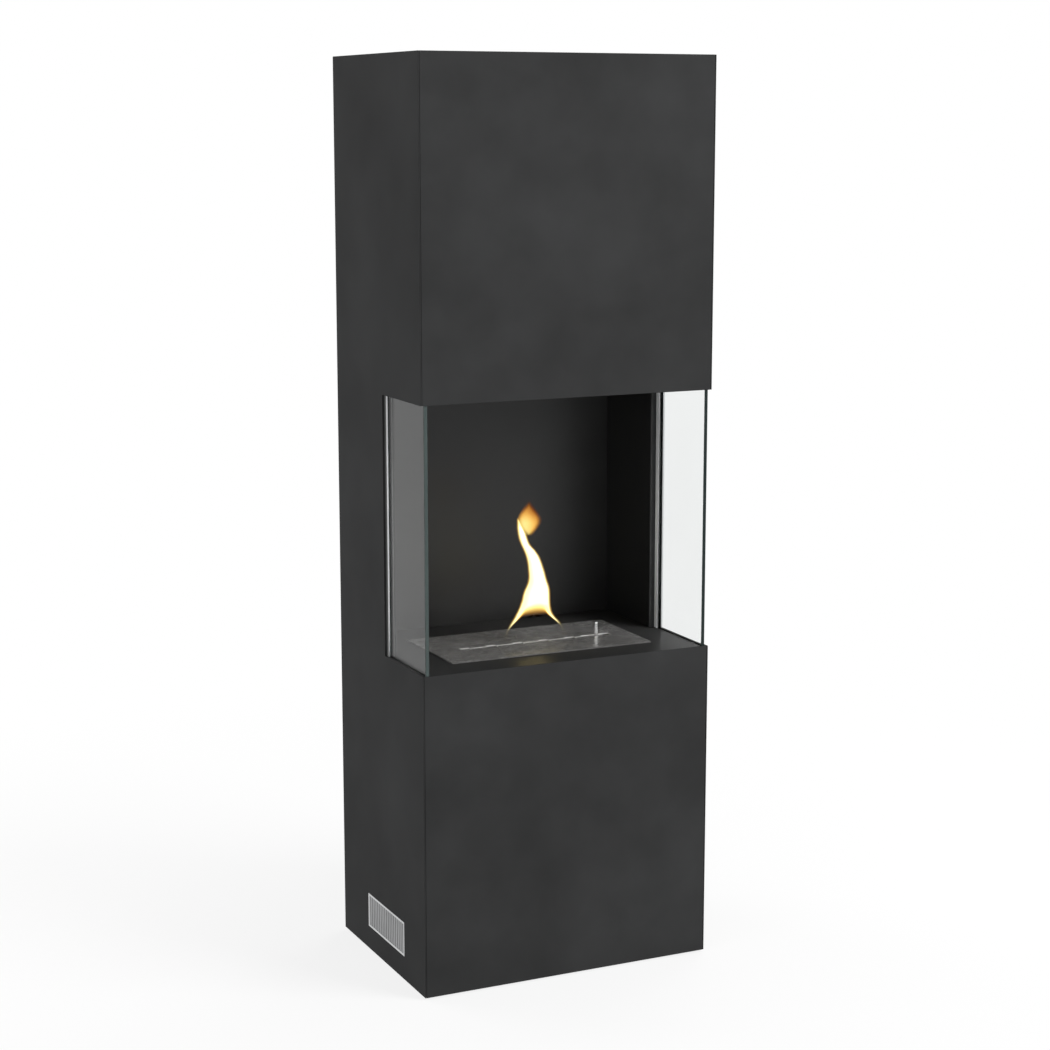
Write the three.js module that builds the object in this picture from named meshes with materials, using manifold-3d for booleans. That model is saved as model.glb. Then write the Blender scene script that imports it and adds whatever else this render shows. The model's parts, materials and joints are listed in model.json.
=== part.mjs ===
// Free-standing bioethanol fireplace with a fire chamber that is open at the front and glazed
// at both sides. Millimetres, +Z up. x runs right along the front and y runs to the back.
// The origin is on the floor, under the middle of the casing.

import * as THREE from 'three';
import { mergeVertices } from 'three/addons/utils/BufferGeometryUtils.js';
import Module from 'manifold-3d';

const wasm = await Module();
wasm.setup();

// Overall sizes
const bodyWidth = 480;
const bodyDepth = 340;
const bodyHeight = 1400;
const chamberFloorZ = 500;
const chamberHeight = 400;

// Sheet metal and fits
const sheet = 2;              // casing, floor and ceiling
const liner = 1.5;            // chamber walls and burner boxes
const shieldSheet = 1;        // heat shield
const fitGap = 0.3;           // between two pieces that touch
const slideGap = 0.5;         // at each side of a piece that slides
const cutOverrun = 1;         // how far a cutting block runs past the face it opens

// Casing
const groundGap = 3;          // lower edge of the panels above the floor
const baseZ = 15;             // underside of the base panel
const serviceGap = 40;        // rear plane of the casing to the chamber's back wall
const sideOpeningDepth = 150; // glazed length of each side, from the front
const columnWidth = 23;       // outer face of a side to its chamber wall
const backRecess = 10;        // rear plane to the outer face of the rear flanges
const rearFlange = 18;
const lipDepth = 18;          // folded lip that carries the floor and the ceiling
const postLeg = 25;
const railLeg = 18;

// Warm-air slots in the back panel
const airSlotCount = 7;
const airSlotWidth = 4;
const airSlotHeight = 50;
const airSlotPitch = 30;
const airSlotDrop = 130;      // top of the casing to the middle of the slots

// Glass and its channels
const glassThickness = 6;
const channelWall = 2.5;
const glassFootDrop = 4;      // how far the foot of the glass sits below the floor
const glassHeadRise = 5;      // how far its top sits in the head channel at rest
const glassLift = 12;         // upward travel that frees the foot
const gasketThickness = 2;
const jambDepth = 10;

// Burner
const burnerSideMargin = 48;  // chamber wall to the edge of the top plate
const burnerFrontInset = 55.5;
const burnerPlateDepth = 171.5;
const burnerPlateThickness = 2;
const plateOverlap = 7;       // how far the top plate covers the edge of the floor
const wellGap = 2;            // between the burner casing and the well around it
const burnerCasingHeight = 64;
const wellBaseGap = 4;        // under the burner casing, down to the well's bottom
const fuelBoxHeight = 44;
const fuelBoxMargin = 14;     // burner casing to fuel box
const woolDrop = 8;           // top of the fibre pad below the fuel box's edge
const woolGap = 1;            // round the fibre pad
const windowPitch = 45;
const windowLength = 17;
const windowWidth = 13;
const grooveWidth = 3;        // pressed line that joins the windows
const grooveDepth = 0.6;
const rowOffset = -1.5;       // middle of the row of windows from the middle of the plate
const rowForward = 10.25;     // the same, towards the front
const shutterTravel = 20;     // each way from fully open
const shutterWidth = 40;
const shutterRim = 14;        // shutter beyond the middle of its last window
const guideLip = 5;
const guideFoot = 6;
const pinRadius = 3;
const pinHeight = 22;         // above the top plate
const pinShoulderRadius = 4;
const pinShoulderHeight = 0.6;
const pinTenonRadius = 2;
const handleSlotWidth = 14;

// Heat shield over the ceiling
const shieldMargin = 40;      // chamber wall to the shield's foot
const shieldHeight = 38;
const shieldFoot = 15;
const shieldFrontInset = 60;
const shieldRearInset = 35;

// Vent grille in the left side
const grilleLength = 150;
const grilleHeight = 55;
const grilleFrontInset = 84;
const grilleZ = 40;
const grilleRim = 3.5;
const grilleDepth = 8;
const grilleFlange = 5;
const grilleSlatPitch = 7.5;
const grilleSlatWidth = 4.2;

// Levelling feet
const footInset = 50;         // outer face of the casing to the middle of a foot
const footPadRadius = 20;
const footPadHeight = 8;
const footStemRadius = 4;
const footStemTop = 46;
const nutAcrossCorners = 15;
const nutHeight = 8;

// Wall bracket and the screws of the back panel
const bracketWidth = 120;
const bracketLeg = 30;
const bracketHoleRadius = 3.5;
const bracketHoleInset = 25;
const bracketDrop = 30;       // top of the casing to the top of the bracket
const screwShankRadius = 2;
const screwHeadRadius = 4.5;
const screwHeadHeight = 2.5;
const screwLength = 10;
const screwSideInset = 10;
const screwEndInset = 60;

// Roundness of turned pieces
const fineSides = 32;
const smallSides = 20;

// Places worked out from the sizes above
const halfWidth = bodyWidth / 2;
const frontY = -bodyDepth / 2;
const rearY = bodyDepth / 2;
const insideX = halfWidth - sheet - fitGap;
const insideY = frontY + sheet + fitGap;
const ceilingZ = chamberFloorZ + chamberHeight;
const floorUnderZ = chamberFloorZ - sheet;
const ceilingTopZ = ceilingZ + sheet;
const columnY = frontY + sideOpeningDepth;
const wallX = halfWidth - columnWidth;
const backWallY = rearY - serviceGap;
const wallBottomZ = chamberFloorZ + fitGap;
const wallTopZ = ceilingZ - fitGap;
const flangeOuterY = rearY - backRecess;
const flangeInnerY = flangeOuterY - sheet;
const postRearY = flangeInnerY - fitGap;
const plateRearY = postRearY - postLeg - fitGap;
const baseTopZ = baseZ + sheet;
const topPanelZ = bodyHeight - sheet;
const backPanelY = flangeOuterY + fitGap;
const backPanelOuterY = backPanelY + sheet;

// Colours and finishes
const finishes = {
	casing: { color: 0x3b3b3c, roughness: 0.62, metalness: 0.2 },
	floor: { color: 0x1d1d1e, roughness: 0.3, metalness: 0.3 },
	chamber: { color: 0x2a2a2b, roughness: 0.5, metalness: 0.3 },
	frame: { color: 0x7d8083, roughness: 0.45, metalness: 0.8 },
	steel: { color: 0xa9a7a2, roughness: 0.28, metalness: 1 },
	aluminium: { color: 0xc4c6c8, roughness: 0.35, metalness: 0.9 },
	wool: { color: 0xe9e6de, roughness: 1, metalness: 0 },
	rubber: { color: 0x151515, roughness: 0.85, metalness: 0 },
	zinc: { color: 0xb4b8bb, roughness: 0.35, metalness: 0.9 }
};

const fireplace = new THREE.Group();

function material( finish ) {

	return new THREE.MeshStandardMaterial( { ...finishes[ finish ], flatShading: true } );

}

function glassMaterial() {

	return new THREE.MeshStandardMaterial( {
		color: 0xdfe6e4, roughness: 0.03, metalness: 0, transparent: true, opacity: 0.35
	} );

}

// Shape helpers

function closed( geometry ) {

	geometry.deleteAttribute( 'normal' );
	geometry.deleteAttribute( 'uv' );
	return mergeVertices( geometry );

}

function toSolid( geometry ) {

	const shell = closed( geometry );
	return new wasm.Manifold( new wasm.Mesh( {
		numProp: 3,
		vertProperties: new Float32Array( shell.attributes.position.array ),
		triVerts: new Uint32Array( shell.index.array )
	} ) );

}

function toGeometry( solid ) {

	const mesh = solid.getMesh();
	const geometry = new THREE.BufferGeometry();
	geometry.setAttribute( 'position', new THREE.BufferAttribute( mesh.vertProperties, 3 ) );
	geometry.setIndex( new THREE.BufferAttribute( mesh.triVerts, 1 ) );
	return geometry;

}

function join( ...geometries ) {

	return toGeometry( geometries.map( toSolid ).reduce( ( whole, next ) => whole.add( next ) ) );

}

function cut( geometry, ...cutters ) {

	return toGeometry( cutters.map( toSolid ).reduce(
		( whole, next ) => whole.subtract( next ), toSolid( geometry ) ) );

}

// A block between two corners, given in any order.
function block( x0, x1, y0, y1, z0, z1 ) {

	const geometry = new THREE.BoxGeometry(
		Math.abs( x1 - x0 ), Math.abs( y1 - y0 ), Math.abs( z1 - z0 ) );
	return geometry.translate( ( x0 + x1 ) / 2, ( y0 + y1 ) / 2, ( z0 + z1 ) / 2 );

}

function outlineOf( points ) {

	return points.map( ( [ a, b ] ) => new THREE.Vector2( a, b ) );

}

// A section swept along an axis. Its points are (y, z) along x, (z, x) along y, (x, y) along z.
function prism( axis, start, end, points, holes = [] ) {

	const shape = new THREE.Shape( outlineOf( points ) );
	shape.holes = holes.map( hole => new THREE.Path( outlineOf( hole ) ) );
	const length = Math.abs( end - start );
	const geometry = new THREE.ExtrudeGeometry( shape, { depth: length, bevelEnabled: false } );
	const x = new THREE.Vector3( 1, 0, 0 );
	const y = new THREE.Vector3( 0, 1, 0 );
	const z = new THREE.Vector3( 0, 0, 1 );
	const bases = { x: [ y, z, x ], y: [ z, x, y ], z: [ x, y, z ] };
	geometry.applyMatrix4( new THREE.Matrix4().makeBasis( ...bases[ axis ] ) );
	const along = bases[ axis ][ 2 ].clone().multiplyScalar( Math.min( start, end ) );
	return geometry.translate( along.x, along.y, along.z );

}

function rectangle( a0, a1, b0, b1 ) {

	return [ [ a0, b0 ], [ a1, b0 ], [ a1, b1 ], [ a0, b1 ] ];

}

// An L section: its outer corner, and the way its two legs run.
function angleSection( a, b, aSign, bSign, leg ) {

	return [
		[ a, b ], [ a + aSign * leg, b ], [ a + aSign * leg, b + bSign * sheet ],
		[ a + aSign * sheet, b + bSign * sheet ], [ a + aSign * sheet, b + bSign * leg ],
		[ a, b + bSign * leg ]
	];

}

// A round stud along z: pairs of radius and height, from its foot on the axis to its top.
function turned( profile, sides ) {

	const geometry = new THREE.LatheGeometry( outlineOf( profile ), sides );
	return geometry.rotateX( Math.PI / 2 );

}

function upright( radius, z0, z1, x, y, sides ) {

	const geometry = new THREE.CylinderGeometry( radius, radius, z1 - z0, sides );
	return geometry.rotateX( Math.PI / 2 ).translate( x, y, ( z0 + z1 ) / 2 );

}

// An open box with a floor and four walls.
function openBox( halfX, middleY, halfY, z0, z1, wall ) {

	const outer = block( - halfX, halfX, middleY - halfY, middleY + halfY, z0, z1 );
	const inner = block( wall - halfX, halfX - wall, middleY - halfY + wall,
		middleY + halfY - wall, z0 + wall, z1 + cutOverrun );
	return cut( outer, inner );

}

function add( name, geometry, finish, parent = fireplace ) {

	const look = finish === 'glass' ? glassMaterial() : material( finish );
	const mesh = new THREE.Mesh( closed( geometry ), look );
	mesh.name = name;
	parent.add( mesh );
	return mesh;

}

const sides = [ { name: 'left', sign: - 1 }, { name: 'right', sign: 1 } ];

// Casing: two side panels with the openings for the glass, two front panels, top, base, back

// A round cutter or stud along y.
function crosswise( radius, y0, y1, x, z ) {

	const geometry = new THREE.CylinderGeometry( radius, radius, y1 - y0, smallSides );
	return geometry.translate( x, ( y0 + y1 ) / 2, z );

}

const screwX = insideX - screwSideInset;
const panelScrews = [
	{ name: 'lower_left', x: - screwX, z: baseTopZ + screwEndInset },
	{ name: 'lower_right', x: screwX, z: baseTopZ + screwEndInset },
	{ name: 'upper_left', x: - screwX, z: bodyHeight - screwEndInset },
	{ name: 'upper_right', x: screwX, z: bodyHeight - screwEndInset }
];

function screwHoles( places, y0, y1 ) {

	return places.map( ( { x, z } ) =>
		crosswise( screwShankRadius + fitGap, y0 - cutOverrun, y1 + cutOverrun, x, z ) );

}

function screwsOnSide( sign ) {

	return panelScrews.filter( ( { x } ) => x * sign > 0 );

}

function sidePanel( sign ) {

	const outline = [
		[ frontY, groundGap ], [ rearY, groundGap ], [ rearY, bodyHeight ], [ frontY, bodyHeight ],
		[ frontY, ceilingZ ], [ columnY, ceilingZ ], [ columnY, chamberFloorZ ],
		[ frontY, chamberFloorZ ]
	];
	const grilleY = frontY + grilleFrontInset;
	const grilleHole = rectangle( grilleY - fitGap, grilleY + grilleLength + fitGap,
		grilleZ - fitGap, grilleZ + grilleHeight + fitGap );
	const holes = sign < 0 ? [ grilleHole ] : [];
	const skin = prism( 'x', sign * ( halfWidth - sheet ), sign * halfWidth, outline, holes );
	const columnFace = block( sign * halfWidth, sign * wallX,
		columnY, columnY + sheet, wallBottomZ, wallTopZ );
	const backFlange = block( sign * halfWidth, sign * ( halfWidth - rearFlange ),
		flangeInnerY, flangeOuterY, groundGap, bodyHeight );
	return cut( join( skin, columnFace, backFlange ),
		...screwHoles( screwsOnSide( sign ), flangeInnerY, flangeOuterY ) );

}

for ( const { name, sign } of sides ) add( `side_panel_${ name }`, sidePanel( sign ), 'casing' );

const lowerLipTopZ = floorUnderZ - fitGap;
const lowerLipZ = lowerLipTopZ - sheet;
const upperLipZ = ceilingTopZ + fitGap;
const lipRearY = frontY + lipDepth;
const channelWidth = glassThickness + ( channelWall + slideGap ) * 2;
const channelInnerX = insideX - channelWidth;
const plateFrontX = channelInnerX - fitGap;

function frontPanel( z0, z1, lipZ ) {

	const face = block( - insideX, insideX, frontY, frontY + sheet, z0, z1 );
	const lip = block( - plateFrontX, plateFrontX, frontY, lipRearY, lipZ, lipZ + sheet );
	return join( face, lip );

}

add( 'front_panel_lower', frontPanel( groundGap, chamberFloorZ, lowerLipZ ), 'casing' );
add( 'front_panel_upper', frontPanel( ceilingZ, bodyHeight, upperLipZ ), 'casing' );
add( 'top_panel', block( - insideX, insideX, insideY, postRearY, topPanelZ, bodyHeight ), 'casing' );

const footX = halfWidth - footInset;
const footFrontY = frontY + footInset;
const footRearY = rearY - footInset;
const feet = [
	{ name: 'front_left', x: - footX, y: footFrontY },
	{ name: 'front_right', x: footX, y: footFrontY },
	{ name: 'rear_left', x: - footX, y: footRearY },
	{ name: 'rear_right', x: footX, y: footRearY }
];
const stemHoleRadius = footStemRadius + slideGap;

function basePanel() {

	const plate = block( - insideX, insideX, insideY, postRearY, baseZ, baseTopZ );
	return cut( plate, ...feet.map( ( { x, y } ) => upright( stemHoleRadius,
		baseZ - cutOverrun, baseTopZ + cutOverrun, x, y, fineSides ) ) );

}

add( 'base_panel', basePanel(), 'frame' );

const bracketTopZ = bodyHeight - bracketDrop;
const bracketStepZ = bracketTopZ - bracketLeg;
const bracketHoleX = bracketWidth / 2 - bracketHoleInset;
const bracketScrewZ = bracketStepZ + sheet - bracketLeg / 2;
const bracketScrews = [
	{ name: 'left', x: - bracketHoleX, z: bracketScrewZ },
	{ name: 'right', x: bracketHoleX, z: bracketScrewZ }
];

function backPanel() {

	const plate = block( - insideX, insideX, backPanelY, backPanelOuterY, groundGap, bodyHeight );
	const slotZ = bodyHeight - airSlotDrop;
	const airSlots = [];
	for ( let i = 0; i < airSlotCount; i ++ ) {

		const x = ( i - ( airSlotCount - 1 ) / 2 ) * airSlotPitch;
		airSlots.push( block( x - airSlotWidth / 2, x + airSlotWidth / 2,
			backPanelY - cutOverrun, backPanelOuterY + cutOverrun,
			slotZ - airSlotHeight / 2, slotZ + airSlotHeight / 2 ) );

	}

	return cut( plate, ...airSlots,
		...screwHoles( [ ...panelScrews, ...bracketScrews ], backPanelY, backPanelOuterY ) );

}

add( 'back_panel', backPanel(), 'casing' );

// The bracket stands off the back panel and reaches the wall at the casing's rear plane.
function wallBracket() {

	const footY = backPanelOuterY + fitGap;
	const section = [
		[ footY, bracketStepZ + sheet - bracketLeg ],
		[ footY + sheet, bracketStepZ + sheet - bracketLeg ],
		[ footY + sheet, bracketStepZ ],
		[ rearY, bracketStepZ ], [ rearY, bracketTopZ ],
		[ rearY - sheet, bracketTopZ ], [ rearY - sheet, bracketStepZ + sheet ],
		[ footY, bracketStepZ + sheet ]
	];
	const profile = prism( 'x', - bracketWidth / 2, bracketWidth / 2, section );
	const wallHoleZ = ( bracketStepZ + bracketTopZ ) / 2;
	const wallHoles = [ - bracketHoleX, bracketHoleX ].map( x => crosswise( bracketHoleRadius,
		rearY - sheet - cutOverrun, rearY + cutOverrun, x, wallHoleZ ) );
	return cut( profile, ...wallHoles, ...screwHoles( bracketScrews, footY, footY + sheet ) );

}

add( 'wall_bracket', wallBracket(), 'zinc' );

function panHeadScrew( x, headY, z ) {

	const shank = crosswise( screwShankRadius, headY - screwLength, headY + screwHeadHeight, x, z );
	const head = crosswise( screwHeadRadius, headY, headY + screwHeadHeight, x, z );
	return join( shank, head );

}

for ( const { name, x, z } of panelScrews ) {

	add( `back_screw_${ name }`, panHeadScrew( x, backPanelOuterY + fitGap, z ), 'zinc' );

}

for ( const { name, x, z } of bracketScrews ) {

	const headY = backPanelOuterY + sheet + fitGap * 2;
	add( `bracket_screw_${ name }`, panHeadScrew( x, headY, z ), 'zinc' );

}

// Glass: a pane at each side, held by a sill channel, a head channel and a jamb channel

const glassFootZ = chamberFloorZ - glassFootDrop;
const glassTopZ = ceilingZ + glassHeadRise;
const gasketZ = glassFootZ - fitGap - gasketThickness;
const sillZ = gasketZ - fitGap - channelWall;
const headTopZ = glassTopZ + glassLift + slideGap + channelWall;
const jambRearY = columnY - fitGap;
const glassFrontY = frontY + sheet + slideGap;
const glassRearY = jambRearY - channelWall - slideGap;
const glassInnerX = channelInnerX + channelWall + slideGap;
const glassOuterX = glassInnerX + glassThickness;

// A U section that opens from its web at a0 towards a1, and spans b0 to b1.
function channelSection( a0, a1, b0, b1 ) {

	const webA = a0 + Math.sign( a1 - a0 ) * channelWall;
	const legB = Math.sign( b1 - b0 ) * channelWall;
	return [
		[ a0, b0 ], [ a1, b0 ], [ a1, b0 + legB ], [ webA, b0 + legB ],
		[ webA, b1 - legB ], [ a1, b1 - legB ], [ a1, b1 ], [ a0, b1 ]
	];

}

for ( const { name, sign } of sides ) {

	const innerX = sign * channelInnerX;
	const outerX = sign * insideX;
	const sill = channelSection( sillZ, chamberFloorZ, innerX, outerX );
	const head = channelSection( headTopZ, ceilingZ, innerX, outerX );
	const jamb = channelSection( jambRearY, jambRearY - jambDepth, innerX, outerX )
		.map( ( [ y, x ] ) => [ x, y ] );
	add( `glass_sill_${ name }`, prism( 'y', insideY, jambRearY, sill ), 'floor' );
	add( `glass_head_${ name }`, prism( 'y', insideY, jambRearY, head ), 'floor' );
	add( `glass_jamb_${ name }`, prism( 'z', wallBottomZ, wallTopZ, jamb ), 'aluminium' );
	add( `glass_pane_${ name }`, block( sign * glassInnerX, sign * glassOuterX,
		glassFrontY, glassRearY, glassFootZ, glassTopZ ), 'glass' );
	add( `glass_gasket_${ name }`, block(
		sign * ( glassInnerX - slideGap + fitGap ), sign * ( glassOuterX + slideGap - fitGap ),
		glassFrontY, glassRearY, gasketZ, gasketZ + gasketThickness ), 'rubber' );

}

// Frame: corner posts, and rails that stiffen the floor and the ceiling of the chamber

const postBottomZ = baseTopZ + fitGap;
const postTopZ = topPanelZ - fitGap;

for ( const { name, sign } of sides ) {

	const rearSection = angleSection( sign * insideX, postRearY, - sign, - 1, postLeg );
	const frontSection = angleSection( sign * insideX, insideY, - sign, 1, postLeg );
	const rearPost = prism( 'z', postBottomZ, postTopZ, rearSection );
	add( `rear_post_${ name }`, cut( rearPost,
		...screwHoles( screwsOnSide( sign ), postRearY - sheet, postRearY ) ), 'frame' );
	add( `front_post_lower_${ name }`,
		prism( 'z', postBottomZ, sillZ - fitGap, frontSection ), 'frame' );
	add( `front_post_upper_${ name }`,
		prism( 'z', headTopZ + fitGap, postTopZ, frontSection ), 'frame' );

}

const frontRailY = lipRearY + fitGap;
const floorRailZ = floorUnderZ - fitGap;
const ceilingRailZ = ceilingTopZ + fitGap;

add( 'floor_rail_front', prism( 'x', - plateFrontX, plateFrontX,
	angleSection( frontRailY, floorRailZ, 1, - 1, railLeg ) ), 'frame' );
add( 'floor_rail_rear', prism( 'x', - insideX, insideX,
	angleSection( backWallY, floorRailZ, - 1, - 1, railLeg ) ), 'frame' );
add( 'ceiling_rail_front', prism( 'x', - plateFrontX, plateFrontX,
	angleSection( frontRailY, ceilingRailZ, 1, 1, railLeg ) ), 'frame' );
add( 'ceiling_rail_rear', prism( 'x', - insideX, insideX,
	angleSection( backWallY, ceilingRailZ, - 1, 1, railLeg ) ), 'frame' );

// Fire chamber: floor with the burner's cut-out, ceiling, three walls, heat shield above

const burnerHalfX = wallX - burnerSideMargin;
const burnerHalfY = burnerPlateDepth / 2;
const burnerY = frontY + burnerFrontInset + burnerHalfY;
const cutoutHalfX = burnerHalfX - plateOverlap;
const cutoutHalfY = burnerHalfY - plateOverlap;

const chamberPlate = [
	[ - plateFrontX, insideY ], [ plateFrontX, insideY ], [ plateFrontX, columnY ],
	[ insideX, columnY ], [ insideX, plateRearY ], [ - insideX, plateRearY ],
	[ - insideX, columnY ], [ - plateFrontX, columnY ]
];
const burnerCutout = rectangle( - cutoutHalfX, cutoutHalfX,
	burnerY - cutoutHalfY, burnerY + cutoutHalfY );

add( 'chamber_floor',
	prism( 'z', floorUnderZ, chamberFloorZ, chamberPlate, [ burnerCutout ] ), 'floor' );
add( 'chamber_ceiling', prism( 'z', ceilingZ, ceilingTopZ, chamberPlate ), 'chamber' );
add( 'chamber_back_wall', block( fitGap - wallX, wallX - fitGap,
	backWallY, backWallY + liner, wallBottomZ, wallTopZ ), 'chamber' );

for ( const { name, sign } of sides ) {

	add( `chamber_wall_${ name }`, block( sign * wallX, sign * ( wallX + liner ),
		columnY + sheet + fitGap, backWallY + liner, wallBottomZ, wallTopZ ), 'chamber' );

}

function heatShield() {

	const footOuterX = wallX - shieldMargin;
	const footInnerX = footOuterX - shieldFoot;
	const footZ = ceilingTopZ + fitGap;
	const topZ = footZ + shieldHeight;
	const section = [
		[ footZ, - footOuterX ], [ footZ, - footInnerX ],
		[ topZ - shieldSheet, - footInnerX ], [ topZ - shieldSheet, footInnerX ],
		[ footZ, footInnerX ], [ footZ, footOuterX ], [ footZ + shieldSheet, footOuterX ],
		[ footZ + shieldSheet, footInnerX + shieldSheet ], [ topZ, footInnerX + shieldSheet ],
		[ topZ, - footInnerX - shieldSheet ], [ footZ + shieldSheet, - footInnerX - shieldSheet ],
		[ footZ + shieldSheet, - footOuterX ]
	];
	return prism( 'y', frontY + shieldFrontInset, backWallY - shieldRearInset, section );

}

add( 'heat_shield', heatShield(), 'zinc' );

// Burner: a lift-out casing with the fuel box, under a top plate with a row of windows. A
// shutter with matching windows slides below the plate, and a pin in the last place moves it.

const burner = new THREE.Group();
burner.position.set( 0, burnerY, 0 );
fireplace.add( burner );

const plateZ = chamberFloorZ + fitGap;
const plateTopZ = plateZ + burnerPlateThickness;
const casingTopZ = plateZ - fitGap;
const casingZ = casingTopZ - burnerCasingHeight;
const casingHalfX = cutoutHalfX - wellGap;
const casingHalfY = cutoutHalfY - wellGap;
const wellZ = casingZ - wellBaseGap - liner;
const fuelBoxHalfX = casingHalfX - liner - fuelBoxMargin;
const fuelBoxHalfY = casingHalfY - liner - fuelBoxMargin;
const fuelBoxZ = casingZ + liner + fitGap;
const fuelBoxTopZ = fuelBoxZ + fuelBoxHeight;
const woolHalfX = fuelBoxHalfX - liner - woolGap;
const woolHalfY = fuelBoxHalfY - liner - woolGap;

const rowRoom = ( casingHalfX - liner - shutterTravel - shutterRim - Math.abs( rowOffset ) ) * 2;
const placeCount = Math.floor( rowRoom / windowPitch ) + 1;
const firstWindowX = rowOffset - ( placeCount - 1 ) / 2 * windowPitch;
const windowPlaces = Array.from( { length: placeCount - 1 },
	( _, i ) => firstWindowX + i * windowPitch );
const handleX = firstWindowX + ( placeCount - 1 ) * windowPitch;
const rowY = - rowForward;
const shutterTopZ = plateZ - slideGap;
const shutterZ = shutterTopZ - liner;
const shutterStartX = firstWindowX - shutterRim;
const shutterEndX = handleX + shutterRim;
const handleSlotHalf = shutterTravel + pinShoulderRadius + slideGap;

function windowCutters( z0, z1 ) {

	return windowPlaces.map( x => block( x - windowLength / 2, x + windowLength / 2,
		rowY - windowWidth / 2, rowY + windowWidth / 2, z0 - cutOverrun, z1 + cutOverrun ) );

}

function topPlate() {

	const plate = block( - burnerHalfX, burnerHalfX, - burnerHalfY, burnerHalfY, plateZ, plateTopZ );
	const handleSlot = block( handleX - handleSlotHalf, handleX + handleSlotHalf,
		rowY - handleSlotWidth / 2, rowY + handleSlotWidth / 2,
		plateZ - cutOverrun, plateTopZ + cutOverrun );
	const groove = block( firstWindowX, handleX - handleSlotHalf - fitGap,
		rowY - grooveWidth / 2, rowY + grooveWidth / 2,
		plateTopZ - grooveDepth, plateTopZ + cutOverrun );
	return cut( plate, ...windowCutters( plateZ, plateTopZ ), handleSlot, groove );

}

function shutterPlate() {

	const strip = block( shutterStartX, shutterEndX,
		rowY - shutterWidth / 2, rowY + shutterWidth / 2, shutterZ, shutterTopZ );
	const pinHole = upright( pinTenonRadius + fitGap, shutterZ - cutOverrun,
		shutterTopZ + cutOverrun, handleX, rowY, smallSides );
	return cut( strip, ...windowCutters( shutterZ, shutterTopZ ), pinHole );

}

function shutterPin() {

	const shoulderZ = shutterTopZ + fitGap;
	const shoulderTopZ = shoulderZ + pinShoulderHeight;
	const topZ = plateTopZ + pinHeight;
	const crown = pinRadius / 3;
	return turned( [
		[ 0, shutterZ ], [ pinTenonRadius, shutterZ ], [ pinTenonRadius, shoulderZ ],
		[ pinShoulderRadius, shoulderZ ], [ pinShoulderRadius, shoulderTopZ ],
		[ pinRadius, shoulderTopZ ], [ pinRadius, topZ - crown ],
		[ pinRadius - crown / 3, topZ - crown / 3 ], [ pinRadius - crown, topZ ], [ 0, topZ ]
	], smallSides ).translate( handleX, rowY, 0 );

}

// A guide hangs under the top plate and holds one long edge of the shutter.
function shutterGuide( sign ) {

	const webY = rowY + sign * ( shutterWidth / 2 + slideGap );
	const webOuterY = webY + sign * liner;
	const lipY = webY - sign * guideLip;
	const footY = webOuterY + sign * guideFoot;
	const lipZ = shutterZ - slideGap - liner;
	const section = [
		[ lipY, lipZ ], [ webOuterY, lipZ ], [ webOuterY, casingTopZ - liner ],
		[ footY, casingTopZ - liner ], [ footY, casingTopZ ], [ webY, casingTopZ ],
		[ webY, lipZ + liner ], [ lipY, lipZ + liner ]
	];
	return prism( 'x', shutterStartX - shutterTravel, shutterEndX + shutterTravel, section );

}

add( 'burner_well', openBox( cutoutHalfX + liner, 0, cutoutHalfY + liner,
	wellZ, floorUnderZ - fitGap, liner ), 'frame', burner );
add( 'burner_casing', openBox( casingHalfX, 0, casingHalfY, casingZ, casingTopZ, liner ),
	'steel', burner );
add( 'fuel_box', openBox( fuelBoxHalfX, 0, fuelBoxHalfY, fuelBoxZ, fuelBoxTopZ, liner ),
	'steel', burner );
add( 'fuel_wool', block( - woolHalfX, woolHalfX, - woolHalfY, woolHalfY,
	fuelBoxZ + liner + fitGap, fuelBoxTopZ - woolDrop ), 'wool', burner );
add( 'burner_top_plate', topPlate(), 'steel', burner );
add( 'shutter_guide_front', shutterGuide( - 1 ), 'steel', burner );
add( 'shutter_guide_rear', shutterGuide( 1 ), 'steel', burner );
add( 'shutter_plate', shutterPlate(), 'steel', burner );
add( 'shutter_pin', shutterPin(), 'steel', burner );

// Vent grille: upright slats in a flush rim, with a flange behind the side panel

function ventGrille() {

	const y0 = frontY + grilleFrontInset;
	const y1 = y0 + grilleLength;
	const z1 = grilleZ + grilleHeight;
	const faceX = - halfWidth;
	const rearX = faceX + grilleDepth;
	const flangeX = faceX + sheet + fitGap;
	const face = block( faceX, rearX, y0, y1, grilleZ, z1 );
	const flange = block( flangeX, flangeX + liner, y0 - grilleFlange, y1 + grilleFlange,
		grilleZ - grilleFlange, z1 + grilleFlange );
	const slotWidth = grilleSlatPitch - grilleSlatWidth;
	const fieldLength = grilleLength - grilleRim * 2;
	const slotCount = Math.floor( ( fieldLength + grilleSlatWidth ) / grilleSlatPitch );
	const firstSlotY = ( y0 + y1 - ( slotCount - 1 ) * grilleSlatPitch - slotWidth ) / 2;
	const slots = [];
	for ( let i = 0; i < slotCount; i ++ ) {

		const slotY = firstSlotY + i * grilleSlatPitch;
		slots.push( block( faceX - cutOverrun, rearX + cutOverrun, slotY, slotY + slotWidth,
			grilleZ + grilleRim, z1 - grilleRim ) );

	}

	return cut( join( face, flange ), ...slots );

}

add( 'vent_grille', ventGrille(), 'aluminium' );

// Levelling feet: a threaded stem with a pad, turned in a nut on the base panel

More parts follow.
